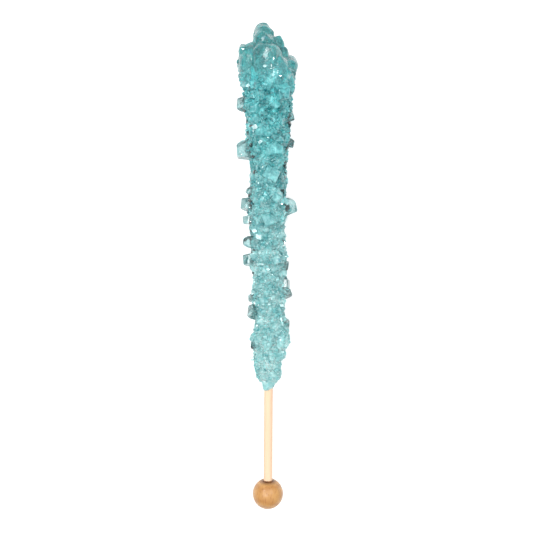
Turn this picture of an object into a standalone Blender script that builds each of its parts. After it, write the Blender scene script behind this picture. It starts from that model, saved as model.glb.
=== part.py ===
"""Rock candy stick: sugar crystals grown on a birch dowel, whose bare end is glued into a turned wooden ball.

The stick lies along Y with its tip towards +Y, on the crystals of its underside.
Lengths below are in millimetres. A station is a distance from the ball's outer end along the stick,
and a clock angle turns about the stick: 0 faces up, 90 faces +X and -90 faces -X.
"""

import math
import random

import bmesh
import bpy
from mathutils import Matrix, Vector, noise

MM = 0.001

# Driving dimensions
LENGTH = 178.0
DOWEL_D = 3.2
DOWEL_LENGTH = 152.0
DOWEL_START = 4.6
DOWEL_EDGE = 0.25
BALL_D = 11.1
BALL_DROP = 1.0
BALL_FLAT_D = 5.0
GLUE_GAP = 0.3
CANDY_START = 44.2
CANDY_TIP = 177.7
REST_HEIGHT = 9.3
DOWEL_SIDES = 28
BALL_SIDES = 36
HOLE_SIDES = 24

# The sugar between the crystals: station, and how far it reaches to -X and to +X
CORE_LINE = (
    (45.4, 1.9, 1.9),
    (49.5, 3.4, 4.2),
    (57.0, 4.6, 4.8),
    (68.0, 4.7, 5.4),
    (84.0, 5.6, 5.7),
    (97.0, 6.5, 5.2),
    (112.0, 7.1, 5.3),
    (124.0, 6.6, 5.8),
    (138.0, 8.2, 6.8),
    (152.0, 9.6, 7.6),
    (161.0, 10.0, 8.0),
    (167.0, 9.2, 5.6),
    (171.5, 6.8, 3.0),
    (176.4, 4.2, 0.2),
)
CORE_RINGS = 30
CORE_SIDES = 18
CORE_DEPTH = 0.94
LUMP_HEIGHT = 0.5
LUMP_LENGTH = 5.0
LUMPS_ROUND = 1.6

# Large crystals: station, clock angle, reach from the axis, width, length outwards, tilt along the stick
BIG_CRYSTALS = (
    (173.6, -84, 5.4, 6.4, 7.5, 24),
    (170.4, 68, 5.6, 5.2, 6.5, 30),
    (169.2, -86, 9.9, 4.6, 7.0, 34),
    (165.6, -88, 12.0, 6.0, 7.0, 18),
    (160.2, -80, 12.6, 8.0, 9.0, -6),
    (166.2, 88, 8.6, 4.6, 7.0, 26),
    (162.0, 86, 11.0, 5.0, 8.0, 6),
    (157.0, 82, 10.3, 5.0, 8.0, -18),
    (153.2, -20, 9.6, 7.5, 8.0, 10),
    (164.5, 16, 9.4, 8.0, 8.0, 22),
    (149.8, 34, 9.6, 6.0, 7.0, -8),
    (147.6, -88, 12.2, 4.8, 7.5, 5),
    (144.6, -42, 9.8, 5.0, 7.0, -16),
    (143.6, 84, 8.6, 4.6, 6.5, 14),
    (133.4, 88, 8.8, 4.4, 6.0, -14),
    (130.0, -90, 12.0, 6.2, 9.0, -3),
    (130.6, 24, 8.6, 5.0, 6.5, 14),
    (136.4, -30, 8.8, 5.2, 6.5, 12),
    (121.0, 12, 8.2, 5.4, 6.5, -12),
    (116.2, -76, 8.8, 3.8, 6.0, 12),
    (111.2, -92, 10.4, 5.2, 8.0, 4),
    (110.4, 90, 9.8, 6.2, 8.0, 12),
    (112.8, 18, 8.0, 5.0, 6.5, -10),
    (105.2, -88, 9.7, 3.6, 7.0, -8),
    (105.0, -6, 8.0, 4.6, 6.0, 12),
    (97.4, -90, 9.6, 4.4, 7.0, 3),
    (90.6, -86, 9.6, 4.8, 7.0, -6),
    (91.0, 20, 7.6, 4.6, 6.0, 12),
    (88.6, 86, 7.0, 4.0, 6.0, -10),
    (82.2, 76, 7.4, 4.6, 6.0, 8),
    (79.2, 90, 8.2, 3.2, 6.0, 20),
    (77.2, -88, 7.6, 4.0, 6.0, -4),
    (72.2, -84, 7.8, 5.0, 6.0, 8),
    (67.2, 86, 7.5, 4.4, 6.0, -6),
    (60.0, -88, 6.6, 3.6, 5.0, 6),
    (50.6, 84, 6.7, 4.4, 4.6, -8),
    (53.6, -80, 6.2, 3.4, 4.6, 4),
    (158.5, 156, 10.2, 7.0, 8.0, -6),
    (156.0, -152, 10.4, 7.0, 8.0, 8),
    (86.4, 158, 9.9, 4.8, 8.5, 5),
    (88.0, -154, 10.2, 5.0, 8.5, -6),
)

# Small crystals, wound round the core in a spiral
SMALL_COUNT = 96
SMALL_FROM = 54.0
SMALL_TO = 167.0
SMALL_SIZE = (3.2, 5.6)
SMALL_STRETCH = (1.2, 1.6)
SMALL_PROUD = 0.62
SMALL_PROUD_SHARE = 0.22
SMALL_TURN = 0.6
SMALL_SHIFT = 0.3
GOLDEN_ANGLE = math.pi * (3.0 - math.sqrt(5.0))

# A sugar crystal leans by this angle and has its corners cut by slanted faces
CRYSTAL_LEAN = math.radians(13.0)
CRYSTAL_DEPTH = 0.78
CORNER_CUTS = (((1.0, 0.25, 1.0), 0.58), ((-1.0, 0.3, 0.9), 0.62), ((0.2, -1.0, 0.8), 0.60))
CUT_DEPTHS = (0.82, 1.0)
TABLE_SIZE = (80.0, 300.0, 20.0)

CANDY_TEAL = (0.160, 0.520, 0.530)
BIRCH = (0.900, 0.740, 0.520)
BALL_TAN = (0.600, 0.340, 0.150)


def collection(name):
    """A new collection in the scene."""
    made = bpy.data.collections.new(name)
    bpy.context.scene.collection.children.link(made)
    return made


def material(name, colour, roughness):
    """A Principled material with one colour."""
    made = bpy.data.materials.new(name)
    made.use_nodes = True
    shader = made.node_tree.nodes["Principled BSDF"]
    shader.inputs["Base Color"].default_value = (*colour, 1.0)
    shader.inputs["Roughness"].default_value = roughness
    shader.inputs["Metallic"].default_value = 0.0
    return made


def mesh_object(name, bm, home, coat=None):
    """The bmesh as a named object in a collection."""
    mesh = bpy.data.meshes.new(name)
    bm.to_mesh(mesh)
    bm.free()
    made = bpy.data.objects.new(name, mesh)
    home.objects.link(made)
    if coat:
        mesh.materials.append(coat)
    return made


def core_reach(station):
    """How far the core reaches to -X and to +X at a station, on a smooth line through CORE_LINE."""
    for (low, *from_reach), (high, *to_reach) in zip(CORE_LINE, CORE_LINE[1:]):
        if station <= high:
            t = min(1.0, max(0.0, (station - low) / (high - low)))
            ease = t * t * (3.0 - 2.0 * t)
            return [a + (b - a) * ease for a, b in zip(from_reach, to_reach)]
    return list(CORE_LINE[-1][1:])


def core_point(station, clock, proud=0.0):
    """A point of the core's surface, or one that stands proud of it."""
    left, right = core_reach(station)
    middle = (right - left) / 2.0
    half = (right + left) / 2.0
    round_place = (LUMPS_ROUND * math.sin(clock), LUMPS_ROUND * math.cos(clock))
    lump = LUMP_HEIGHT * noise.noise(Vector((station / LUMP_LENGTH, *round_place)))
    across = (half + lump + proud) * math.sin(clock)
    up = (half * CORE_DEPTH + lump + proud) * math.cos(clock)
    return Vector((middle + across, station, up)) * MM


def core():
    """The lumpy sugar round the dowel, as rings closed by a point at each end."""
    bm = bmesh.new()
    first, last = CORE_LINE[0][0], CORE_LINE[-1][0]
    rings = []
    for i in range(CORE_RINGS + 1):
        station = first + (last - first) * i / CORE_RINGS
        clocks = [2.0 * math.pi * (j + 0.5 * (i % 2)) / CORE_SIDES for j in range(CORE_SIDES)]
        rings.append([bm.verts.new(core_point(station, clock)) for clock in clocks])
    for i, (ring, following) in enumerate(zip(rings, rings[1:])):
        for j in range(CORE_SIDES):
            k = (j + 1) % CORE_SIDES
            if i % 2 == 0:
                bm.faces.new((ring[j], ring[k], following[j]))
                bm.faces.new((ring[k], following[k], following[j]))
            else:
                bm.faces.new((ring[j], ring[k], following[k]))
                bm.faces.new((ring[j], following[k], following[j]))
    for ring, station in ((rings[0], CANDY_START), (rings[-1], CANDY_TIP)):
        end = bm.verts.new(sum((v.co for v in ring), Vector()) / CORE_SIDES)
        end.co.y = station * MM
        for j in range(CORE_SIDES):
            bm.faces.new((ring[j], ring[(j + 1) % CORE_SIDES], end))
    bmesh.ops.recalc_face_normals(bm, faces=bm.faces)
    return bm


def add_crystal(bm, outer, outwards, width, length, rng):
    """A leaning block with cut corners, whose outer end is centred at a point and whose root lies inwards."""
    made = bmesh.new()
    bmesh.ops.create_cube(made, size=1.0)
    for corner, reach in CORNER_CUTS:
        normal = Vector(corner).normalized()
        normal.y *= rng.choice((-1.0, 1.0))
        place = normal * reach * rng.uniform(*CUT_DEPTHS)
        whole = made.verts[:] + made.edges[:] + made.faces[:]
        cut = bmesh.ops.bisect_plane(made, geom=whole, plane_co=place, plane_no=normal, clear_outer=True)
        edges = [e for e in cut["geom_cut"] if isinstance(e, bmesh.types.BMEdge)]
        bmesh.ops.holes_fill(made, edges=edges)
    size = Vector((width, width * CRYSTAL_DEPTH, length)) * MM
    lean = Matrix.Shear("XY", 4, (math.tan(CRYSTAL_LEAN), 0.0))
    side = Vector((0.0, 1.0, 0.0)).cross(outwards).normalized()
    turned = Matrix((side, outwards.cross(side), outwards)).transposed().to_4x4()
    spin = Matrix.Rotation(rng.uniform(0.0, math.pi), 4, "Z")
    centre = outer - outwards * length * MM / 2.0
    place = Matrix.Translation(centre) @ turned @ spin @ lean @ Matrix.Diagonal((*size, 1.0))
    bmesh.ops.transform(made, matrix=place, verts=made.verts)
    bmesh.ops.recalc_face_normals(made, faces=made.faces)
    mesh = bpy.data.meshes.new("one crystal")
    made.to_mesh(mesh)
    made.free()
    bm.from_mesh(mesh)
    bpy.data.meshes.remove(mesh)


def outward(clock, tilt):
    """A direction away from the axis at a clock angle, tilted along the stick, both in radians."""
    flat = Vector((math.sin(clock), 0.0, math.cos(clock)))
    return (flat * math.cos(tilt) + Vector((0.0, math.sin(tilt), 0.0))).normalized()


def big_crystals(bm, rng):
    """The large crystals that stand out of the sides, the head and the underside."""
    for station, clock, reach, width, length, tilt in BIG_CRYSTALS:
        angle = math.radians(clock)
        outer = Vector((reach * math.sin(angle), station, reach * math.cos(angle))) * MM
        add_crystal(bm, outer, outward(angle, math.radians(tilt)), width, length, rng)


def small_crystals(bm, rng):
    """A spiral of crystals that covers the core, each leaning its own way."""
    for i in range(SMALL_COUNT):
        station = SMALL_FROM + (SMALL_TO - SMALL_FROM) * (i + rng.uniform(-0.5, 0.5)) / (SMALL_COUNT - 1)
        clock = i * GOLDEN_ANGLE + rng.uniform(-SMALL_SHIFT, SMALL_SHIFT)
        size = rng.uniform(*SMALL_SIZE)
        turn, tilt = (rng.uniform(-SMALL_TURN, SMALL_TURN) for _ in range(2))
        outer = core_point(station, clock, SMALL_PROUD + SMALL_PROUD_SHARE * size)
        add_crystal(bm, outer, outward(clock + turn, tilt), size, size * rng.uniform(*SMALL_STRETCH), rng)


def cutter(name, bm, home):
    """A helper for a Boolean, kept out of the model."""
    made = mesh_object(name, bm, home)
    made.hide_render = True
    made.display_type = "WIRE"
    return made


def boolean(target, operation, tool, overlapping=False):
    """A Boolean modifier with the exact solver."""
    made = target.modifiers.new(tool.name, "BOOLEAN")
    made.operation = operation
    made.solver = "EXACT"
    made.use_self = overlapping
    made.object = tool


def drill(name, start, end, home):
    """A cutter round the dowel's place, from one station to another, with room for the glue."""
    bm = bmesh.new()
    radius = (DOWEL_D / 2.0 + GLUE_GAP) * MM
    bmesh.ops.create_cone(
        bm, cap_ends=True, segments=HOLE_SIDES, radius1=radius, radius2=radius, depth=(end - start) * MM
    )
    middle = Matrix.Translation((0.0, (start + end) / 2.0 * MM, 0.0))
    bmesh.ops.transform(bm, matrix=middle @ Matrix.Rotation(math.pi / 2.0, 4, "X"), verts=bm.verts)
    return cutter(name, bm, home)


def candy(home, tools):
    """The grown sugar: core and crystals as one solid, cut flat where it rests and open for the dowel."""
    rng = random.Random(41)
    crystals = bmesh.new()
    big_crystals(crystals, rng)
    small_crystals(crystals, rng)
    made = mesh_object("candy_crystals", core(), home, material("teal sugar", CANDY_TEAL, 0.25))
    boolean(made, "UNION", cutter("crystal block shapes", crystals, tools), overlapping=True)

    table = bmesh.new()
    bmesh.ops.create_cube(table, size=1.0)
    size = Vector(TABLE_SIZE) * MM
    below = Matrix.Translation((0.0, LENGTH * MM / 2.0, -REST_HEIGHT * MM - size.z / 2.0))
    bmesh.ops.transform(table, matrix=below @ Matrix.Diagonal((*size, 1.0)), verts=table.verts)
    boolean(made, "DIFFERENCE", cutter("resting plane", table, tools))

    bore_end = DOWEL_START + DOWEL_LENGTH + GLUE_GAP
    boolean(made, "DIFFERENCE", drill("dowel bore", CANDY_START - DOWEL_D, bore_end, tools))
    return made


def turned(name, profile, steps, home, coat):
    """A profile of (radius, height) pairs turned about its own Z, from the outer side's top to its bottom."""
    bm = bmesh.new()
    points = [bm.verts.new((radius * MM, 0.0, height * MM)) for radius, height in profile]
    for a, b in zip(points, points[1:]):
        bm.edges.new((a, b))
    made = mesh_object(name, bm, home, coat)
    screw = made.modifiers.new("turn", "SCREW")
    screw.axis = "Z"
    screw.steps = steps
    screw.render_steps = steps
    screw.use_merge_vertices = True
    screw.merge_threshold = 0.00005
    screw.use_smooth_shade = True
    return made


def dowel(home):
    """The birch stick, from inside the ball to inside the candy."""
    radius = DOWEL_D / 2.0
    half = DOWEL_LENGTH / 2.0
    profile = [
        (0.0, half),
        (radius - DOWEL_EDGE, half),
        (radius, half - DOWEL_EDGE),
        (radius, -half + DOWEL_EDGE),
        (radius - DOWEL_EDGE, -half),
        (0.0, -half),
    ]
    made = turned("stick", profile, DOWEL_SIDES, home, material("birch", BIRCH, 0.6))
    made.rotation_euler = (-math.pi / 2.0, 0.0, 0.0)
    made.location = Vector((0.0, DOWEL_START + half, 0.0)) * MM
    return made


def ball(home, tools):
    """The turned wooden ball, with a small flat round the hole that takes the dowel's end."""
    radius = BALL_D / 2.0
    flat = math.asin(BALL_FLAT_D / BALL_D)
    steps = BALL_SIDES // 2
    arc = [flat + (math.pi - flat) * i / steps for i in range(steps + 1)]
    profile = [(0.0, radius * math.cos(flat))] + [(radius * math.sin(a), radius * math.cos(a)) for a in arc]
    profile[-1] = (0.0, -radius)
    made = turned("ball", profile, BALL_SIDES, home, material("varnished ball", BALL_TAN, 0.35))
    made.rotation_euler = (-math.pi / 2.0, 0.0, 0.0)
    made.location = Vector((0.0, radius, -BALL_DROP)) * MM

    boolean(made, "DIFFERENCE", drill("ball hole", DOWEL_START - GLUE_GAP, BALL_D + DOWEL_D, tools))
    return made


def side_middle(candy_object):
    """The X of the middle of the candy's box, once its modifiers are worked out."""
    bpy.context.view_layer.update()
    evaluated = candy_object.evaluated_get(bpy.context.evaluated_depsgraph_get())
    across = [v.co.x for v in evaluated.data.vertices]
    return (min(across) + max(across)) / 2.0


def build():
    """All three pieces, with the box's bottom centre at the origin."""
    for old in list(bpy.data.objects):
        bpy.data.objects.remove(old)
    home = collection("rock candy stick")
    tools = collection("cutters")
    sugar = candy(home, tools)
    pieces = [sugar, dowel(home), ball(home, tools)]
    place = bpy.data.objects.new("stick place", None)
    home.objects.link(place)
    for piece in pieces + list(tools.objects):
        piece.parent = place
    place.location = (-side_middle(sugar), -LENGTH * MM / 2.0, REST_HEIGHT * MM)


build()
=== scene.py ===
"""Looks of the rock candy stick: teal sugar crystals on a birch dowel with a varnished wooden ball.

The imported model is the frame: every place below is worked out from its nodes, in metres.
A station is a distance along the stick from the ball's outer end, in millimetres, and a clock angle turns
about the stick in degrees: 0 faces up, 90 faces +X and -90 faces -X.
"""

import math
import random

import bpy
import numpy as np
from mathutils import Matrix, Vector, noise
from mathutils.bvhtree import BVHTree


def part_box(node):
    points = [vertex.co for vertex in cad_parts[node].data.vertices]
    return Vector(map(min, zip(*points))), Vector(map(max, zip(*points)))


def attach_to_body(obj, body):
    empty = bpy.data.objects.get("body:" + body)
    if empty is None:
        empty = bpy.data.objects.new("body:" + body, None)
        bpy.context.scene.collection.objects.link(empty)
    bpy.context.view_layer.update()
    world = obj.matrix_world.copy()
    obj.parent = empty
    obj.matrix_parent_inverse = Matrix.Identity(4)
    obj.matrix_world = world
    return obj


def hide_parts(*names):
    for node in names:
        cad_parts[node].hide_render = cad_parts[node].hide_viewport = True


MM = 0.001
SEED = 7

# Large crystals: station, clock angle, reach from the axis, width, length outwards, tilt along the stick, shape
BIG_CRYSTALS = (
    (157.0, 82, 8.9, 5.0, 8.0, -18, "tabular"),
    (149.8, 34, 9.6, 6.0, 7.0, -8, "block"),
    (147.6, -88, 12.2, 4.8, 7.5, 5, "block"),
    (144.6, -42, 9.8, 5.0, 7.0, -16, "wedge"),
    (143.6, 84, 8.6, 4.6, 6.5, 14, "block"),
    (133.4, 88, 8.8, 4.4, 6.0, -14, "wedge"),
    (130.0, -90, 12.0, 6.2, 9.0, -3, "block"),
    (130.6, 24, 8.6, 5.0, 6.5, 14, "block"),
    (136.4, -30, 8.8, 5.2, 6.5, 12, "tabular"),
    (121.0, 12, 8.2, 5.4, 6.5, -12, "block"),
    (116.2, -76, 8.8, 3.8, 6.0, 12, "wedge"),
    (111.2, -92, 10.4, 5.2, 8.0, 4, "block"),
    (110.4, 90, 9.8, 6.2, 8.0, 12, "block"),
    (112.8, 18, 8.0, 5.0, 6.5, -10, "tabular"),
    (105.2, -88, 9.7, 3.6, 7.0, -8, "block"),
    (105.0, -6, 8.0, 4.6, 6.0, 12, "block"),
    (97.4, -90, 9.6, 4.4, 7.0, 3, "wedge"),
    (90.6, -86, 9.6, 4.8, 7.0, -6, "block"),
    (91.0, 20, 7.6, 4.6, 6.0, 12, "tabular"),
    (88.6, 86, 7.0, 4.0, 6.0, -10, "block"),
    (82.2, 76, 7.4, 4.6, 6.0, 8, "block"),
    (79.2, 90, 8.2, 3.2, 6.0, 20, "wedge"),
    (77.2, -88, 7.6, 4.0, 6.0, -4, "wedge"),
    (72.2, -84, 7.8, 5.0, 6.0, 8, "block"),
    (67.2, 86, 7.5, 4.4, 6.0, -6, "tabular"),
    (60.0, -88, 6.6, 3.6, 5.0, 6, "wedge"),
    (158.5, 156, 9.0, 7.0, 7.0, -6, "tabular"),
    (156.0, -152, 9.2, 7.0, 7.0, 8, "block"),
    (86.4, 158, 8.9, 4.8, 7.5, 5, "block"),
    (88.0, -154, 9.2, 5.0, 7.5, -6, "block"),
)

# Rounded lobes that the head's crystals have grown together into:
# station, distance across and up from the axis, and half sizes across, along and up
LOBES = (
    (172.9, -2.4, 0.0, 3.9, 4.5, 4.2),
    (172.4, -2.2, 0.3, 3.8, 4.7, 3.8),
    (172.6, -2.6, -0.6, 3.9, 4.6, 3.8),
    (170.2, -1.6, -0.2, 4.8, 4.8, 5.2),
    (168.3, 2.1, 0.4, 3.5, 4.3, 3.8),
    (165.0, 4.2, 0.4, 3.6, 4.2, 4.4),
    (162.0, 6.9, -0.2, 3.4, 3.9, 4.4),
    (166.9, -6.0, 0.4, 2.6, 3.2, 3.6),
    (166.4, -8.7, 0.2, 3.5, 3.4, 4.0),
    (164.0, -7.7, 0.2, 4.6, 6.9, 5.4),
    (158.0, -7.6, -0.6, 4.4, 6.2, 5.0),
    (163.0, -1.2, 3.8, 6.6, 7.2, 5.6),
    (158.0, 1.4, 4.4, 7.2, 7.0, 4.9),
    (157.0, 5.4, 0.6, 4.1, 6.6, 5.4),
    (164.4, -2.4, -4.0, 6.0, 6.4, 5.0),
    (160.6, 3.0, -4.2, 6.2, 6.8, 4.8),
    (151.6, -1.6, 3.0, 6.4, 5.6, 4.6),
)
# The same at the lower end, where fine sugar has closed round the dowel
FOOT_LOBES = (
    (46.8, 0.1, 0.1, 3.1, 3.7, 3.1),
    (49.6, 0.2, 0.2, 3.8, 4.4, 3.6),
    (52.2, 1.5, 0.0, 3.1, 4.0, 3.2),
    (54.6, -2.4, 0.3, 3.2, 4.8, 3.6),
    (49.4, -1.4, -0.3, 2.8, 3.2, 2.8),
    (57.0, 1.2, 0.8, 4.5, 5.0, 4.4),
    (62.4, -1.0, 0.4, 5.2, 5.4, 4.8),
    (63.2, 3.2, 0.0, 3.9, 6.4, 4.4),
    (67.0, 1.8, 0.2, 4.9, 5.2, 4.8),
    (56.0, 0.6, -1.6, 4.2, 5.0, 3.4),
    (64.2, -0.4, -1.6, 4.8, 5.4, 3.6),
)
LOBE_PLANES = 26
LOBE_SOFTNESS = 16.0
LOBE_VOXEL, LOBE_EASING = 0.22, 10

# Flat faces that throw the key light at the camera: station, distance across, width, length, spin
GLINTS = (
    (173.8, -2.4, 1.2, 1.4, 0.2),
    (159.6, -2.0, 1.4, 1.5, 0.6),
    (149.7, 4.2, 1.6, 3.4, 0.4),
    (145.0, -5.6, 1.5, 1.9, -0.5),
    (138.4, -5.0, 2.2, 1.1, 0.5),
    (133.2, -3.1, 1.6, 1.6, 0.8),
    (130.4, 3.6, 1.2, 2.0, -0.7),
    (113.2, 2.6, 2.2, 2.6, -0.5),
    (105.4, -0.2, 1.7, 1.9, 0.1),
    (101.4, -5.0, 1.8, 1.2, 0.3),
    (99.2, -3.2, 2.4, 1.6, -0.2),
    (90.8, 2.3, 2.2, 2.0, -0.6),
    (87.6, -0.4, 1.2, 1.4, 0.5),
    (74.6, 3.6, 1.3, 1.2, 0.2),
    (55.4, -4.6, 1.4, 1.3, 0.4),
)
# They stand at most this far above the sugar that they grow on
GLINT_ABOVE = 1.0
# ...and this far above the valleys, with their faces this much further out
GLINT_OVER_VALLEY, GLINT_PROUD = 1.6, 0.35
# About how far the sugar reaches from the axis, for a first guess at a glint's clock angle
USUAL_REACH = 11.0

# Lights: place, the point that it faces, size in metres and power in watts
KEY_PLACE = (-0.30, 0.28, 0.55)
LIGHTS = {
    "key light": (KEY_PLACE, (0.0, 0.0, 0.0), 0.22, 1.0),
    "sparkle light left": ((-0.16, -0.05, 0.50), (0.0, 0.0, 0.0), 0.05, 0.8),
    "sparkle light right": ((0.20, 0.16, 0.50), (0.0, 0.02, 0.0), 0.05, 0.8),
}
# The room is this bright at the sides and this bright overhead, and changes between these heights
ROOM_SIDE, ROOM_OVERHEAD, ROOM_LOW, ROOM_HIGH = 0.26, 0.92, 0.20, 0.60
TABLE_SIZE, TABLE_GLOW = 4.0, 0.38

# Teal along the candy, from its lower end to its tip: the deeper and the paler patches
DEEP_TEAL = (
    (0.0, "#70c8ca"), (0.35, "#61b8bc"), (0.65, "#33a8ae"), (0.82, "#2fa3aa"), (0.90, "#0f7d82"), (1.0, "#087478"),
)
PALE_TEAL = (
    (0.0, "#c4e6e4"), (0.35, "#b8e6e5"), (0.65, "#8ae1e2"), (0.82, "#80dddf"), (0.90, "#48b4b2"), (1.0, "#3cacab"),
)
POCKET_TEAL = "#1f8f9e"
# Between these shares of the candy's length the sugar goes from milky and soft to clear, with stronger growth lines
# of painted shade and painted highlight
MILKY_SHARE, CLEAR_SHARE = 0.10, 0.65

# How the CAD candy's surface is read, and how much smaller the cloudy core is
STATION_STEP = 1.0
CLOCK_STEPS = 48
VALLEY_REACH = 2
VALLEY_SHARE = 22
FAR_OUT = 25.0
CORE_SINK = 0.3
CORE_SHORT = 8.0
# At the lower end the core is no wider than this, and this much more for each millimetre along
FOOT_REACH, FOOT_WIDENING = 1.8, 0.36
CORE_ROUNDING = 5.0
CORE_SIDES, CORE_RINGS = 112, 420
# The core's lumps: how high, how long and how many round it
CORE_LUMP, LUMP_LENGTH, LUMPS_ROUND = 0.45, 1.6, 2.8

# Crystals that cover the core: how many, and their widths in millimetres
MEDIUM_COUNT, MEDIUM_SIZE = 420, (1.8, 4.0)
SMALL_COUNT, SMALL_SIZE = 5600, (0.6, 1.7)
GRAIN_COUNT, GRAIN_SIZE = 6400, (0.3, 0.7)
# Darker ones in the crevices at the sides, their grey-teal tint painted shade and painted dark reflection, and the
# stations between which they lie
CREVICE_COUNT, CREVICE_SIZE, CREVICE_STATIONS = 42, (0.9, 1.9), (84.0, 150.0)
CREVICE_CLOCKS, CREVICE_PROUD = (56.0, 84.0), 1.0
# From this station the crystals thin out, over this many millimetres, to the head's bare lobes
HEAD_STATION, HEAD_FADE = 150.0, 11.0
# There they stand proud by this share of what they do elsewhere, and the core lies this much deeper
HEAD_PROUD, HEAD_SINK = 0.3, 1.6
# Crystals are this share of their size at the lower end, and grow to full size over this many millimetres
FINE_SHARE, FINE_LENGTH = 0.5, 60.0
# They stand less proud over this many millimetres at the lower end, down to this share of it
FOOT_LENGTH, FOOT_PROUD = 14.0, 0.15

# Camera: straight above the stick, high enough for its perspective, and as wide as this many millimetres
CAMERA_HEIGHT = 300.0
CAMERA_VIEW = 194.4
CAMERA_STATION = 88.6
CAMERA_SIDE = -1.0
CAMERA_ROLL = 0.35
SENSOR = 36.0


def linear(colour):
    """A '#rrggbb' sRGB colour as the linear RGBA that Blender's sockets take."""
    values = [int(colour[i:i + 2], 16) / 255.0 for i in (1, 3, 5)]
    return (*[v / 12.92 if v <= 0.04045 else ((v + 0.055) / 1.055) ** 2.4 for v in values], 1.0)


def add(tree, kind, settings=None, **inputs):
    """Adds a node, with its settings and its inputs: an input is a value or another node's output."""
    made = tree.nodes.new(kind)
    for name, value in (settings or {}).items():
        setattr(made, name, value)
    for name, value in inputs.items():
        socket = made.inputs[int(name[1:])] if name[0] == "_" else made.inputs[name.replace("_", " ")]
        if isinstance(value, bpy.types.NodeSocket):
            tree.links.new(value, socket)
        else:
            socket.default_value = value
    return made


def new_material(name):
    """A material with only its output, and its tree."""
    made = bpy.data.materials.new(name)
    made.use_nodes = True
    made.node_tree.nodes.clear()
    return made, made.node_tree


def ramp(tree, factor, *stops):
    """A colour ramp's output, from (place, colour) stops."""
    made = add(tree, "ShaderNodeValToRGB", _0=factor)
    elements = made.color_ramp.elements
    while len(elements) < len(stops):
        elements.new(0.5)
    for element, (place, colour) in zip(elements, stops):
        element.position = place
        element.color = linear(colour)
    return made.outputs[0]


def growth_lines(tree, place):
    """Fine wavy growth steps, about a millimetre apart: 0 in each groove, 1 on each ridge."""
    waves = add(tree, "ShaderNodeTexNoise", Vector=place, Scale=340.0, Detail=2.5, Distortion=1.4).outputs[0]
    raised = add(tree, "ShaderNodeMath", {"operation": "MULTIPLY"}, _0=waves, _1=8.0).outputs[0]
    return add(tree, "ShaderNodeMath", {"operation": "PINGPONG"}, _0=raised, _1=1.0).outputs[0]


def share_along(tree, place, candy):
    """How far along the candy a point lies: 0 at its lower end, 1 at its tip."""
    along = add(tree, "ShaderNodeSeparateXYZ", _0=place).outputs[1]
    low, high = (candy.start + station * MM for station in (candy.first, candy.last))
    return add(tree, "ShaderNodeMapRange", _0=along, _1=low, _2=high, _3=0.0, _4=1.0).outputs[0]


def from_milky(tree, share, at_foot, above):
    """A value that changes from the milky lower end to the clearer sugar above it."""
    return add(
        tree, "ShaderNodeMapRange", _0=share, _1=MILKY_SHARE, _2=CLEAR_SHARE, _3=at_foot, _4=above,
    ).outputs[0]


def syrup_tint(tree, place, candy, deep, pale, painted_line_strength):
    """Teal that pales towards the candy's lower end, in patches, with fine lines of painted shade in the grooves
    and painted highlight on the ridges, and pockets of deep syrup.
    """
    share = share_along(tree, place, candy)
    patches = add(tree, "ShaderNodeTexNoise", Vector=place, Scale=330.0, Detail=3.0, Roughness=0.6).outputs[0]
    mixing = add(tree, "ShaderNodeMapRange", _0=patches, _1=0.32, _2=0.68, _3=0.15, _4=0.85).outputs[0]
    tint = add(
        tree, "ShaderNodeMix", {"data_type": "RGBA"},
        _0=mixing, _6=ramp(tree, share, *deep), _7=ramp(tree, share, *pale),
    ).outputs[2]
    lines = growth_lines(tree, place)
    # Painted shade and painted highlight: the growth lines turn dark grey in each groove and near white on each
    # ridge, laid over the teal
    painted_groove_shade_ridge_highlight = ramp(tree, lines, (0.05, "#4c4c4c"), (0.30, "#bcbcbc"), (0.72, "#bcbcbc"), (0.95, "#fafafa"))
    lined = add(
        tree, "ShaderNodeMix", {"data_type": "RGBA", "blend_type": "OVERLAY"}, _0=from_milky(tree, share, 0.5 * painted_line_strength, painted_line_strength),
        _6=tint, _7=painted_groove_shade_ridge_highlight,
    ).outputs[2]
    depths = add(tree, "ShaderNodeTexNoise", Vector=place, Scale=520.0, Detail=1.0).outputs[0]
    pocket = add(tree, "ShaderNodeMapRange", _0=depths, _1=0.66, _2=0.74, _3=0.0, _4=0.7).outputs[0]
    spotted = add(tree, "ShaderNodeMix", {"data_type": "RGBA"}, _0=pocket, _6=lined, _7=linear(POCKET_TEAL))
    return spotted.outputs[2], patches, lines


def rock_sugar(name, candy, deep, pale, clear, cloud, absorb, roughness, relief, milky=0.0):
    """Crystal sugar, sucrose of IOR 1.54: clear facets and growth steps, with milky veils inside it."""
    made, tree = new_material(name)
    place = add(tree, "ShaderNodeTexCoord").outputs["Object"]
    tint, veils, lines = syrup_tint(tree, place, candy, deep, pale, 0.38)
    share = share_along(tree, place, candy)
    veiled = add(tree, "ShaderNodeMapRange", _0=veils, _1=0.34, _2=0.68, _3=clear, _4=cloud).outputs[0]
    clearness = add(
        tree, "ShaderNodeMath", {"operation": "MULTIPLY"}, _0=veiled, _1=from_milky(tree, share, 1.0 - milky, 1.0),
    ).outputs[0]
    dull = from_milky(tree, share, roughness + 0.2 * milky, roughness)
    bump = add(tree, "ShaderNodeBump", Strength=relief, Distance=0.00012, Height=lines).outputs[0]
    shader = add(
        tree, "ShaderNodeBsdfPrincipled", Base_Color=tint, Roughness=dull, IOR=1.54,
        Transmission_Weight=clearness, Subsurface_Weight=0.5, Subsurface_Radius=(0.4, 1.0, 1.0),
        Subsurface_Scale=0.0010, Coat_Weight=0.6, Coat_IOR=1.8, Coat_Roughness=0.03, Normal=bump,
    )
    inside = add(tree, "ShaderNodeVolumeAbsorption", Color=linear(absorb[0]), Density=absorb[1])
    add(tree, "ShaderNodeOutputMaterial", Surface=shader.outputs[0], Volume=inside.outputs[0])
    return made


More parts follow.
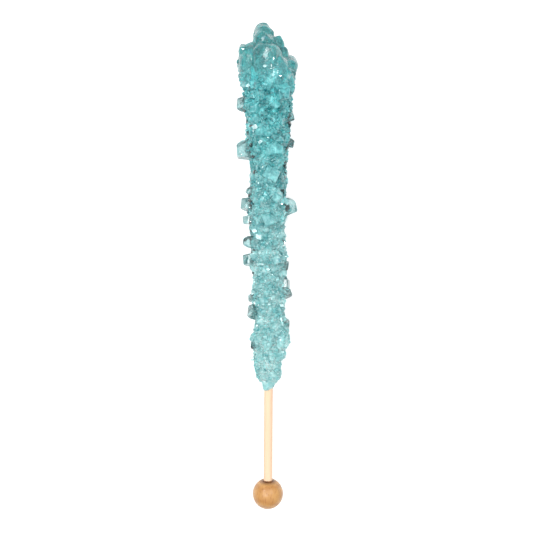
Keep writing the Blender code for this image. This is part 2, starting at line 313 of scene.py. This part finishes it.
def cloudy_sugar(candy):
    """The fine-grained sugar under the crystals: full of tiny grains and air, so it is cloudy and soft."""
    made, tree = new_material("cloudy fine grained sugar")
    place = add(tree, "ShaderNodeTexCoord").outputs["Object"]
    tint, _, lines = syrup_tint(tree, place, candy, DEEP_TEAL, PALE_TEAL, 0.38)
    bump = add(tree, "ShaderNodeBump", Strength=0.6, Distance=0.00015, Height=lines).outputs[0]
    shader = add(
        tree, "ShaderNodeBsdfPrincipled", Base_Color=tint, Roughness=0.2, IOR=1.54,
        Subsurface_Weight=0.6, Subsurface_Radius=(0.5, 1.0, 1.0), Subsurface_Scale=0.001, Normal=bump,
    )
    add(tree, "ShaderNodeOutputMaterial", Surface=shader.outputs[0])
    return made


def sanded_birch():
    """Bare sanded birch: cream, with fine fibres about 0.3 mm apart along the dowel."""
    made, tree = new_material("sanded birch dowel")
    place = add(tree, "ShaderNodeTexCoord").outputs["Object"]
    along = add(tree, "ShaderNodeMapping", Vector=place, Scale=(1.0, 0.035, 1.0)).outputs[0]
    fibres = add(tree, "ShaderNodeTexNoise", Vector=along, Scale=2600.0, Detail=4.0, Roughness=0.65).outputs[0]
    bands = add(tree, "ShaderNodeTexNoise", Vector=along, Scale=420.0, Detail=2.0).outputs[0]
    fine = ramp(tree, fibres, (0.30, "#e3c2a0"), (0.62, "#efcdb0"))
    broad = ramp(tree, bands, (0.38, "#f0c8aa"), (0.60, "#f2d0b0"))
    tint = add(tree, "ShaderNodeMix", {"data_type": "RGBA"}, _0=0.5, _6=fine, _7=broad).outputs[2]
    bump = add(tree, "ShaderNodeBump", Strength=0.25, Distance=0.0001, Height=fibres).outputs[0]
    shader = add(
        tree, "ShaderNodeBsdfPrincipled", Base_Color=tint, Roughness=0.7, Specular_IOR_Level=0.2, Normal=bump,
    )
    add(tree, "ShaderNodeOutputMaterial", Surface=shader.outputs[0])
    return made


def varnished_ball(centre, hole):
    """A turned hardwood ball under satin varnish: caramel, with soft rings and short pores, darker round the hole.
    """
    made, tree = new_material("satin varnished turned ball")
    place = add(tree, "ShaderNodeTexCoord").outputs["Object"]
    local = add(tree, "ShaderNodeMapping", Vector=place, Location=tuple(-c for c in centre)).outputs[0]
    turned = add(
        tree, "ShaderNodeMapping", Vector=local, Rotation=(0.5, 0.3, 0.2), Scale=(1.0, 0.25, 1.0),
    ).outputs[0]
    rings = add(
        tree, "ShaderNodeTexWave", {"wave_type": "RINGS", "rings_direction": "Y"},
        Vector=turned, Scale=210.0, Distortion=2.5, Detail=2.0, Detail_Scale=1.5,
    ).outputs[0]
    pores = add(tree, "ShaderNodeTexNoise", Vector=turned, Scale=2300.0, Detail=3.0).outputs[0]
    body = ramp(tree, rings, (0.0, "#b98243"), (1.0, "#c99656"))
    dots = ramp(tree, pores, (0.30, "#b9834c"), (0.46, "#ffffff"))
    grained = add(
        tree, "ShaderNodeMix", {"data_type": "RGBA", "blend_type": "MULTIPLY"}, _0=0.45, _6=body, _7=dots,
    )
    # Darker brown within about 2 to 3.4 mm of the hole's centre
    from_hole = add(tree, "ShaderNodeVectorMath", {"operation": "DISTANCE"}, _0=place, _1=hole).outputs["Value"]
    darker_round_hole = add(tree, "ShaderNodeMapRange", _0=from_hole, _1=0.0019, _2=0.0034, _3=1.0, _4=0.0).outputs[0]
    tint = add(tree, "ShaderNodeMix", {"data_type": "RGBA"}, _0=darker_round_hole, _6=grained.outputs[2], _7=linear("#6e4420"))
    bump = add(tree, "ShaderNodeBump", Strength=0.1, Distance=0.0001, Height=pores).outputs[0]
    shader = add(
        tree, "ShaderNodeBsdfPrincipled", Base_Color=tint.outputs[2], Roughness=0.42,
        Coat_Weight=0.5, Coat_Roughness=0.3, Normal=bump,
    )
    add(tree, "ShaderNodeOutputMaterial", Surface=shader.outputs[0])
    return made


def set_faces(mesh, points, polygons):
    """Fills a mesh from arrays of points and faces."""
    mesh.from_pydata([tuple(p) for p in points], [], polygons)
    mesh.validate()
    mesh.update()


class Candy:
    """What is read from the frame: the dowel's axis, and the candy's outer surface and valleys."""

    def __init__(self):
        low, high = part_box("stick")
        ball_low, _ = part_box("ball")
        self.axis_x = (low.x + high.x) / 2.0
        self.axis_z = (low.z + high.z) / 2.0
        self.dowel = (high.x - low.x) / 2.0
        self.start = ball_low.y
        candy_low, candy_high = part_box("candy_crystals")
        self.first = (candy_low.y - self.start) / MM
        self.last = (candy_high.y - self.start) / MM
        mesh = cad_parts["candy_crystals"].data
        self.tree = BVHTree.FromPolygons([v.co for v in mesh.vertices], [p.vertices for p in mesh.polygons])
        self.read_surface()

    def point(self, station, clock, reach):
        """A point at a station, a clock angle in radians and a distance from the axis in millimetres."""
        across = Vector((math.sin(clock), 0.0, math.cos(clock))) * reach * MM
        return Vector((self.axis_x, self.start + station * MM, self.axis_z)) + across

    def cast(self, tree, station, clock):
        """How far from the axis a surface lies at a station and a clock angle, looking in from outside."""
        start = self.point(station, clock, FAR_OUT)
        inwards = self.point(station, clock, 0.0) - start
        hit = tree.ray_cast(start, inwards.normalized())
        return FAR_OUT - hit[3] / MM if hit[0] else self.dowel / MM

    def read_surface(self):
        """The surface's distance from the axis over stations and clock angles, and that of its valleys."""
        self.stations = np.arange(self.first + 0.4, self.last - 0.3, STATION_STEP)
        clocks = [2.0 * math.pi * j / CLOCK_STEPS for j in range(CLOCK_STEPS)]
        reaches = [[self.cast(self.tree, station, clock) for clock in clocks] for station in self.stations]
        outer = np.array(reaches)
        self.outer = outer
        shifts = range(-VALLEY_REACH, VALLEY_REACH + 1)
        rows = [np.clip(np.arange(len(self.stations)) + i, 0, len(self.stations) - 1) for i in shifts]
        near = [np.roll(outer[row], j, axis=1) for row in rows for j in shifts]
        valley = np.percentile(np.array(near), VALLEY_SHARE, axis=0)
        for _ in range(2):
            padded = np.vstack([valley[:1], valley, valley[-1:]])
            along = (padded[:-2] + padded[1:-1] * 2.0 + padded[2:]) / 4.0
            valley = (np.roll(along, 1, axis=1) + along * 2.0 + np.roll(along, -1, axis=1)) / 4.0
        self.valley = valley

    def reach(self, grid, station, clock):
        """A distance from the axis read off a grid, between its points."""
        i = min(max((station - self.stations[0]) / STATION_STEP, 0.0), len(self.stations) - 1.001)
        j = (clock / (2.0 * math.pi) * CLOCK_STEPS) % CLOCK_STEPS
        i0, j0 = int(i), int(j) % CLOCK_STEPS
        j1 = (j0 + 1) % CLOCK_STEPS
        u, v = i - i0, j - int(j)
        low = grid[i0, j0] * (1 - v) + grid[i0, j1] * v
        high = grid[i0 + 1, j0] * (1 - v) + grid[i0 + 1, j1] * v
        return low * (1 - u) + high * u


def ground_tree(pieces):
    """One search tree over the pieces that crystals grow on."""
    points, faces = [], []
    for piece in pieces:
        first = len(points)
        points.extend(v.co.copy() for v in piece.data.vertices)
        faces.extend([first + k for k in p.vertices] for p in piece.data.polygons)
    return BVHTree.FromPolygons(points, faces)


def deselect():
    """Leaves nothing selected."""
    if bpy.context.object and bpy.context.object.mode != "OBJECT":
        bpy.ops.object.mode_set(mode="OBJECT")
    bpy.ops.object.select_all(action="DESELECT")


def seed_crystal(depth, lean, cuts, edge):
    """One crystal of unit width, modelled from a cube: its end pushed aside, corners cut off, edges eased."""
    deselect()
    bpy.ops.mesh.primitive_cube_add(size=1.0)
    made = bpy.context.object
    made.scale = (1.0, depth, 1.0)
    bpy.ops.object.transform_apply(scale=True)
    bpy.ops.object.mode_set(mode="EDIT")
    bpy.ops.mesh.select_mode(type="VERT")
    bpy.ops.mesh.select_all(action="DESELECT")
    bpy.ops.object.mode_set(mode="OBJECT")
    for vertex in made.data.vertices:
        vertex.select = vertex.co.z > 0.0
    bpy.ops.object.mode_set(mode="EDIT")
    bpy.ops.transform.translate(value=(lean, 0.0, 0.0))
    for normal, reach in cuts:
        bpy.ops.mesh.select_all(action="SELECT")
        direction = Vector(normal).normalized()
        bpy.ops.mesh.bisect(plane_co=direction * reach, plane_no=direction, use_fill=True, clear_outer=True)
    if edge:
        bpy.ops.mesh.select_all(action="SELECT")
        bpy.ops.mesh.bevel(offset=edge, segments=1, affect="EDGES")
    bpy.ops.mesh.select_all(action="SELECT")
    bpy.ops.mesh.normals_make_consistent(inside=False)
    bpy.ops.object.mode_set(mode="OBJECT")
    points = np.array([v.co for v in made.data.vertices])
    faces = [list(p.vertices) for p in made.data.polygons]
    bpy.data.objects.remove(made)
    return points, faces


def seed_crystals(edge):
    """The habits that sugar crystals grow in, each with its own slanted faces."""
    return {
        "block": seed_crystal(0.82, 0.22, (((1, 0.2, 1), 0.60), ((-0.3, -1, 0.9), 0.56)), edge),
        "tabular": seed_crystal(
            0.62, 0.26, (((1, 0.1, 0.7), 0.55), ((-1, 0.4, 1), 0.58), ((0, -1, 1), 0.52)), edge,
        ),
        "wedge": seed_crystal(
            0.74, 0.16, (((0.9, 0.5, 1), 0.46), ((-0.9, -0.3, 1), 0.50), ((0.1, 1, 0.8), 0.48)), edge,
        ),
        "plate": seed_crystal(0.80, 0.0, (((1, 0.2, 0.2), 0.50), ((-0.8, -1, 0.3), 0.52)), edge * 0.4),
        "prism": seed_crystal(0.90, 0.24, (((1, 1, 0), 0.54), ((-1, -1, 0), 0.56), ((0.6, -0.3, 1), 0.52)), edge),
    }


def turned_to(direction, spin):
    """A rotation whose Z is a direction, turned about it."""
    side = Vector((0.0, 1.0, 0.0)).cross(direction)
    if side.length < 0.05:
        side = Vector((1.0, 0.0, 0.0))
    side.normalize()
    frame_axes = Matrix((side, direction.cross(side), direction)).transposed()
    return frame_axes @ Matrix.Rotation(spin, 3, "Z")


def crystal_mesh(name, seeds, places, material):
    """One piece out of many crystals: places are (shape, outer end's centre, direction, spin, width, length)."""
    points, faces, first = [], [], 0
    for shape, outer, direction, spin, width, length in places:
        seed_points, seed_faces = seeds[shape]
        turn = np.array(turned_to(direction, spin))
        size = np.array((width, width, length)) * MM
        centre = np.array(outer - direction * length * MM / 2.0)
        points.append(seed_points * size @ turn.T + centre)
        faces.extend([[first + k for k in face] for face in seed_faces])
        first += len(seed_points)
    mesh = bpy.data.meshes.new(name)
    lying = np.vstack(points)
    lying[:, 2] = np.maximum(lying[:, 2], 0.0)
    set_faces(mesh, lying, faces)
    made = bpy.data.objects.new(name, mesh)
    bpy.context.scene.collection.objects.link(made)
    mesh.materials.append(material)
    return made


def away(clock, turn, tilt):
    """A direction out from the axis at a clock angle, turned and tilted, in radians."""
    flat = Vector((math.sin(clock + turn), 0.0, math.cos(clock + turn)))
    return (flat * math.cos(tilt) + Vector((0.0, math.sin(tilt), 0.0))).normalized()


def big_places(candy, rng, at_sides):
    """The large crystals, each where the solid has it: those at the sides, or those on top and underneath."""
    for station, clock, reach, width, length, tilt, shape in BIG_CRYSTALS:
        angle = math.radians(clock)
        if (abs(math.sin(angle)) > 0.8) != at_sides:
            continue
        direction = away(angle, 0.0, math.radians(tilt))
        yield shape, candy.point(station, angle, reach), direction, rng.uniform(0, math.pi), width, length


def cover_places(candy, ground, rng, count, sizes, proud, stretch, first, last, turn=0.7):
    """Crystals strewn over the ground they grow on, a spiral with each one moved and turned a little."""
    golden = math.pi * (3.0 - math.sqrt(5.0))
    shapes = ("block", "tabular", "wedge", "prism")
    for i in range(count):
        share = (i + rng.uniform(-0.8, 0.8)) / count
        station = first + (last - first) * min(max(share, 0.0), 1.0)
        clock = i * golden + rng.uniform(-0.35, 0.35)
        bare = (station - HEAD_STATION) / HEAD_FADE
        if rng.random() < bare and (math.cos(clock) > -0.2 or bare > 1.2):
            continue
        width = sizes[0] + (sizes[1] - sizes[0]) * rng.random() ** 1.6
        reach = candy.cast(ground, station, clock)
        width *= min(1.0, FINE_SHARE + (1.0 - FINE_SHARE) * (station - candy.first) / FINE_LENGTH)
        above = proud * (HEAD_PROUD if bare > 0.3 else 1.0) + rng.uniform(-0.12, 0.12) * width
        above *= min(1.0, FOOT_PROUD + (1.0 - FOOT_PROUD) * (station - candy.first) / FOOT_LENGTH)
        outer = candy.point(station, clock, reach + above)
        direction = away(clock, rng.uniform(-turn, turn), rng.uniform(-turn, turn))
        length = width * rng.uniform(*stretch)
        yield rng.choice(shapes), outer, direction, rng.uniform(0.0, math.pi), width, length


def crevice_places(candy, ground, rng):
    """Small crystals low down between the large ones at the sides, tinted dark as painted shade and painted dark
    reflection.
    """
    for _ in range(CREVICE_COUNT):
        station = rng.uniform(*CREVICE_STATIONS)
        clock = rng.choice((-1.0, 1.0)) * math.radians(rng.uniform(*CREVICE_CLOCKS))
        width = rng.uniform(*CREVICE_SIZE)
        outer = candy.point(station, clock, candy.cast(ground, station, clock) + CREVICE_PROUD)
        direction = away(clock, rng.uniform(-0.5, 0.5), rng.uniform(-0.7, 0.7))
        yield rng.choice(("wedge", "tabular")), outer, direction, rng.uniform(0.0, math.pi), width, width * 1.3


def glint_places(candy, ground, eye):
    """Small flat crystals, each turned half way between the camera and the key light."""
    for station, across, width, length, spin in GLINTS:
        clock = math.asin(across / USUAL_REACH)
        reach = candy.reach(candy.outer, station, clock)
        clock = math.asin(max(-0.95, min(0.95, across / reach)))
        over_valley = candy.reach(candy.valley, station, clock) + GLINT_OVER_VALLEY
        reach = min(candy.reach(candy.outer, station, clock), over_valley)
        reach = min(reach, candy.cast(ground, station, clock) + GLINT_ABOVE)
        outer = candy.point(station, clock, reach + GLINT_PROUD)
        half = (eye - outer).normalized() + (Vector(KEY_PLACE) - outer).normalized()
        yield "plate", outer, half.normalized(), spin, width, length


def lobe_points(sphere, seed):
    """A sphere's points drawn in to random planes, whose meeting edges stay soft."""
    rng = random.Random(seed)
    radii = np.zeros(len(sphere))
    for _ in range(LOBE_PLANES):
        plane = Vector((rng.gauss(0, 1), rng.gauss(0, 1), rng.gauss(0, 1))).normalized()
        facing = np.clip(sphere @ np.array(plane), 0.02, None)
        radii += (facing / rng.uniform(0.78, 0.98)) ** LOBE_SOFTNESS
    return sphere * np.minimum(radii ** (-1.0 / LOBE_SOFTNESS), 1.12)[:, None]


def lobe_piece(name, lobes, candy, material):
    """Lobes in one piece, each a rounded crystal of its own shape."""
    deselect()
    bpy.ops.mesh.primitive_ico_sphere_add(subdivisions=5, radius=1.0)
    ball = bpy.context.object
    sphere = np.array([v.co for v in ball.data.vertices])
    sphere_faces = [list(p.vertices) for p in ball.data.polygons]
    bpy.data.objects.remove(ball)
    points, faces = [], []
    for station, across, up, *half in lobes:
        centre = np.array((candy.axis_x + across * MM, candy.start + station * MM, candy.axis_z + up * MM))
        faces.extend([[len(points) * len(sphere) + k for k in face] for face in sphere_faces])
        points.append(lobe_points(sphere, round(100.0 * station)) * np.array(half) * MM + centre)
    mesh = bpy.data.meshes.new(name)
    set_faces(mesh, np.vstack(points), faces)
    made = bpy.data.objects.new(name, mesh)
    bpy.context.scene.collection.objects.link(made)
    bpy.context.view_layer.objects.active = made
    made.select_set(True)
    mesh.remesh_voxel_size = LOBE_VOXEL * MM
    bpy.ops.object.voxel_remesh()
    smooth = made.modifiers.new("eased", "SMOOTH")
    smooth.factor, smooth.iterations = 0.5, LOBE_EASING
    bpy.ops.object.modifier_apply(modifier=smooth.name)
    made.data.shade_smooth()
    made.data.materials.clear()
    made.data.materials.append(material)
    return made


def core_piece(candy):
    """The cloudy core: a fine ball stretched over the valleys, sunk a little, with a lumpy surface."""
    deselect()
    bpy.ops.mesh.primitive_uv_sphere_add(segments=CORE_SIDES, ring_count=CORE_RINGS, radius=1.0)
    made = bpy.context.object
    made.name = "cloudy_core"
    span = candy.last - candy.first - CORE_SHORT
    for vertex in made.data.vertices:
        share = 1.0 - math.acos(max(-1.0, min(1.0, vertex.co.z))) / math.pi
        station = candy.first + 0.5 + share * span
        clock = math.atan2(vertex.co.x, vertex.co.y)
        end = min(1.0, (station - candy.first) / CORE_ROUNDING, (candy.last - station) / CORE_ROUNDING)
        sink = CORE_SINK + HEAD_SINK * max(0.0, min(1.0, (station - HEAD_STATION) / HEAD_FADE))
        sunk = (candy.reach(candy.valley, station, clock) - sink) * math.sqrt(1.0 - (1.0 - end) ** 2)
        sunk = min(sunk, FOOT_REACH + FOOT_WIDENING * (station - candy.first))
        round_place = (LUMPS_ROUND * math.sin(clock), LUMPS_ROUND * math.cos(clock))
        lump = CORE_LUMP * noise.noise(Vector((station / LUMP_LENGTH, *round_place)))
        on_pole = math.hypot(vertex.co.x, vertex.co.y) < 0.001
        vertex.co = candy.point(station, clock, 0.0 if on_pole else sunk + lump)
    made.data.shade_smooth()
    made.data.materials.clear()
    made.data.materials.append(cloudy_sugar(candy))
    return made


def attach(piece, slot, *nodes):
    """The piece rides with the one body and stands for its CAD nodes, which it hides; the slot is not used."""
    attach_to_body(piece, "root")
    if nodes:
        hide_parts(*nodes)


def sweets(candy, eye):
    """The core, the head's lobes and crystals of all sizes, in place of the candy's solid."""
    rng = random.Random(SEED)
    glassy = ((0.0, "#e6fbfa"), (1.0, "#b6eaec"))
    # Painted shade and painted dark reflection: the large clear crystals' deeper patches are greyer and darker
    shaded = ((0.0, "#a2c6c5"), (1.0, "#7cadae"))
    clear = rock_sugar(
        "large clear sugar crystals", candy, shaded, glassy, 1.0, 0.85, ("#4fc3c8", 25.0), 0.02, 0.3,
    )
    body = rock_sugar(
        "grown sugar crystals", candy, DEEP_TEAL, PALE_TEAL, 0.50, 0.15, ("#45bcc2", 30.0), 0.05, 0.6, 0.6,
    )
    fine = rock_sugar(
        "fine sugar crystals", candy, DEEP_TEAL, PALE_TEAL, 0.30, 0.08, ("#45bcc2", 60.0), 0.10, 0.4, 0.6,
    )
    eased, sharp = seed_crystals(0.05), seed_crystals(0.0)
    first, last = candy.first, candy.last
    core = core_piece(candy)
    attach(core, "sugar_crystals", "candy_crystals")
    smooth = rock_sugar(
        "grown together sugar lobes", candy, DEEP_TEAL, PALE_TEAL,
        0.40, 0.15, ("#45bcc2", 30.0), 0.08, 1.0,
    )
    lobes = lobe_piece("head_lobes", LOBES, candy, smooth)
    foot = lobe_piece("foot_lobes", FOOT_LOBES, candy, fine)
    ground = ground_tree((core, lobes, foot))
    big = crystal_mesh("side_crystals", eased, big_places(candy, rng, True), clear)
    front = crystal_mesh("front_crystals", eased, big_places(candy, rng, False), body)
    glints = crystal_mesh("glinting_crystals", eased, glint_places(candy, ground, eye), body)
    medium = crystal_mesh(
        "medium_crystals", eased,
        cover_places(
            candy, ground, rng, MEDIUM_COUNT, MEDIUM_SIZE, 0.65, (1.0, 1.5),
            first + 8.0, last - 4.0, 0.5,
        ), body,
    )
    small = crystal_mesh(
        "small_crystals", sharp,
        cover_places(
            candy, ground, rng, SMALL_COUNT, SMALL_SIZE, 0.6, (1.1, 2.5),
            first + 1.5, last - 1.0, 0.95,
        ), body,
    )
    grains = crystal_mesh(
        "sugar_grains", sharp,
        cover_places(
            candy, ground, rng, GRAIN_COUNT, GRAIN_SIZE, 0.35, (0.9, 1.3),
            first - 0.8, last - 1.0,
        ), fine,
    )
    # Painted shade and painted dark reflection: a dark grey-teal tint for the crystals in the crevices
    painted_shade_teal = ((0.0, "#54706f"), (1.0, "#1f3a3c"))
    painted_shade_sugar = rock_sugar("crevice sugar crystals in painted shade", candy, painted_shade_teal, painted_shade_teal, 0.5, 0.2, ("#3a7f84", 200.0), 0.05, 0.3)
    crevices = crystal_mesh("crevice_crystals", sharp, crevice_places(candy, ground, rng), painted_shade_sugar)
    for piece in (lobes, foot, big, front, glints, medium, small, grains, crevices):
        attach(piece, "sugar_crystals")


def white_floor():
    """A plain white table: it lights like pale paper, and shows white wherever no shadow falls on it."""
    deselect()
    bpy.ops.mesh.primitive_plane_add(size=TABLE_SIZE, location=(0.0, 0.0, 0.0))
    made = bpy.context.object
    made.name = "white_table"
    material, tree = new_material("white table")
    shader = add(tree, "ShaderNodeBsdfDiffuse", Color=linear("#f4f4f4"))
    path = add(tree, "ShaderNodeLightPath")
    seen = add(
        tree, "ShaderNodeMath", {"operation": "MAXIMUM"},
        _0=path.outputs["Is Camera Ray"], _1=path.outputs["Is Transmission Ray"],
    ).outputs[0]
    level = add(tree, "ShaderNodeMath", {"operation": "MULTIPLY"}, _0=seen, _1=TABLE_GLOW).outputs[0]
    glow = add(tree, "ShaderNodeEmission", Color=(1.0, 1.0, 1.0, 1.0), Strength=level)
    both = add(tree, "ShaderNodeAddShader", _0=shader.outputs[0], _1=glow.outputs[0])
    add(tree, "ShaderNodeOutputMaterial", Surface=both.outputs[0])
    made.data.materials.append(material)


def area_light(name, place, target, size, power):
    """A square soft light that faces a point."""
    light = bpy.data.lights.new(name, "AREA")
    light.size = size
    light.energy = power
    made = bpy.data.objects.new(name, light)
    bpy.context.scene.collection.objects.link(made)
    made.location = place
    made.rotation_euler = (Vector(target) - Vector(place)).to_track_quat("-Z", "Y").to_euler()
    return made


def studio():
    """Soft white room light, brighter overhead than at the sides, with a key light from the upper left."""
    world = bpy.data.worlds.new("white room")
    bpy.context.scene.world = world
    world.use_nodes = True
    tree = world.node_tree
    tree.nodes.clear()
    direction = add(tree, "ShaderNodeTexCoord").outputs["Generated"]
    height = add(tree, "ShaderNodeSeparateXYZ", _0=direction).outputs[2]
    level = add(
        tree, "ShaderNodeMapRange", _0=height, _1=ROOM_LOW, _2=ROOM_HIGH, _3=ROOM_SIDE,
        _4=ROOM_OVERHEAD,
    ).outputs[0]
    seen = add(tree, "ShaderNodeLightPath").outputs["Is Camera Ray"]
    level = add(tree, "ShaderNodeMath", {"operation": "MAXIMUM"}, _0=level, _1=seen).outputs[0]
    sky = add(tree, "ShaderNodeBackground", Color=(1.0, 1.0, 1.0, 1.0), Strength=level)
    add(tree, "ShaderNodeOutputWorld", Surface=sky.outputs[0])
    for name, light in LIGHTS.items():
        area_light(name, *light)


def camera(candy):
    """Straight above the stick, turned a little about its own line of sight."""
    data = bpy.data.cameras.new("camera")
    data.sensor_width = SENSOR
    data.lens = SENSOR * CAMERA_HEIGHT / CAMERA_VIEW
    data.clip_end = 10.0
    made = bpy.data.objects.new("camera", data)
    bpy.context.scene.collection.objects.link(made)
    made.location = (
        candy.axis_x + CAMERA_SIDE * MM,
        candy.start + CAMERA_STATION * MM,
        candy.axis_z + CAMERA_HEIGHT * MM,
    )
    made.rotation_euler = (0.0, 0.0, math.radians(CAMERA_ROLL))
    bpy.context.scene.camera = made
    return made.location


def dried_glue():
    """Wood glue that has dried amber brown where the dowel enters the ball."""
    made, tree = new_material("dried amber glue")
    place = add(tree, "ShaderNodeTexCoord").outputs["Object"]
    patches = add(tree, "ShaderNodeTexNoise", Vector=place, Scale=900.0, Detail=2.0).outputs[0]
    tint = ramp(tree, patches, (0.35, "#5a3518"), (0.65, "#8a5a2c"))
    shader = add(tree, "ShaderNodeBsdfPrincipled", Base_Color=tint, Roughness=0.3)
    add(tree, "ShaderNodeOutputMaterial", Surface=shader.outputs[0])
    return made


def glue_ring(candy):
    """A thin uneven bead of glue round the dowel, on the ball's flat."""
    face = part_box("ball")[1].y
    deselect()
    bpy.ops.mesh.primitive_torus_add(
        major_segments=48, minor_segments=12, major_radius=candy.dowel + 0.15 * MM, minor_radius=0.26 * MM,
        location=(candy.axis_x, face, candy.axis_z), rotation=(math.pi / 2.0, 0.0, 0.0),
    )
    made = bpy.context.object
    made.name = "glue_ring"
    bpy.ops.object.transform_apply(location=True, rotation=True)
    for vertex in made.data.vertices:
        uneven = noise.noise(vertex.co * 700.0)
        vertex.co.y += (vertex.co.y - face) * uneven * 0.6
    made.data.shade_smooth()
    made.data.materials.append(dried_glue())
    attach(made, "wooden_ball")


def wooden_parts(candy):
    """Wood finishes for the dowel and the ball, and the glue between them."""
    low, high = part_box("ball")
    hole = (candy.axis_x, high.y, candy.axis_z)
    for name, material in (("stick", sanded_birch()), ("ball", varnished_ball((low + high) / 2.0, hole))):
        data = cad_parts[name].data
        data.materials.clear()
        data.materials.append(material)
    glue_ring(candy)


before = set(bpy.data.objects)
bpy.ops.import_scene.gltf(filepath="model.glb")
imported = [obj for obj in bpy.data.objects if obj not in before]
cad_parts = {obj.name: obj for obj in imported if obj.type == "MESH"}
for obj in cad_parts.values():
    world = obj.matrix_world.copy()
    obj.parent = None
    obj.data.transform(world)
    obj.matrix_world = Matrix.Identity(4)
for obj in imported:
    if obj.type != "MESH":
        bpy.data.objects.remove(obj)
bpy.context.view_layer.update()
bpy.context.scene.view_settings.view_transform = "Standard"
candy = Candy()
sweets(candy, camera(candy))
wooden_parts(candy)
white_floor()
studio()
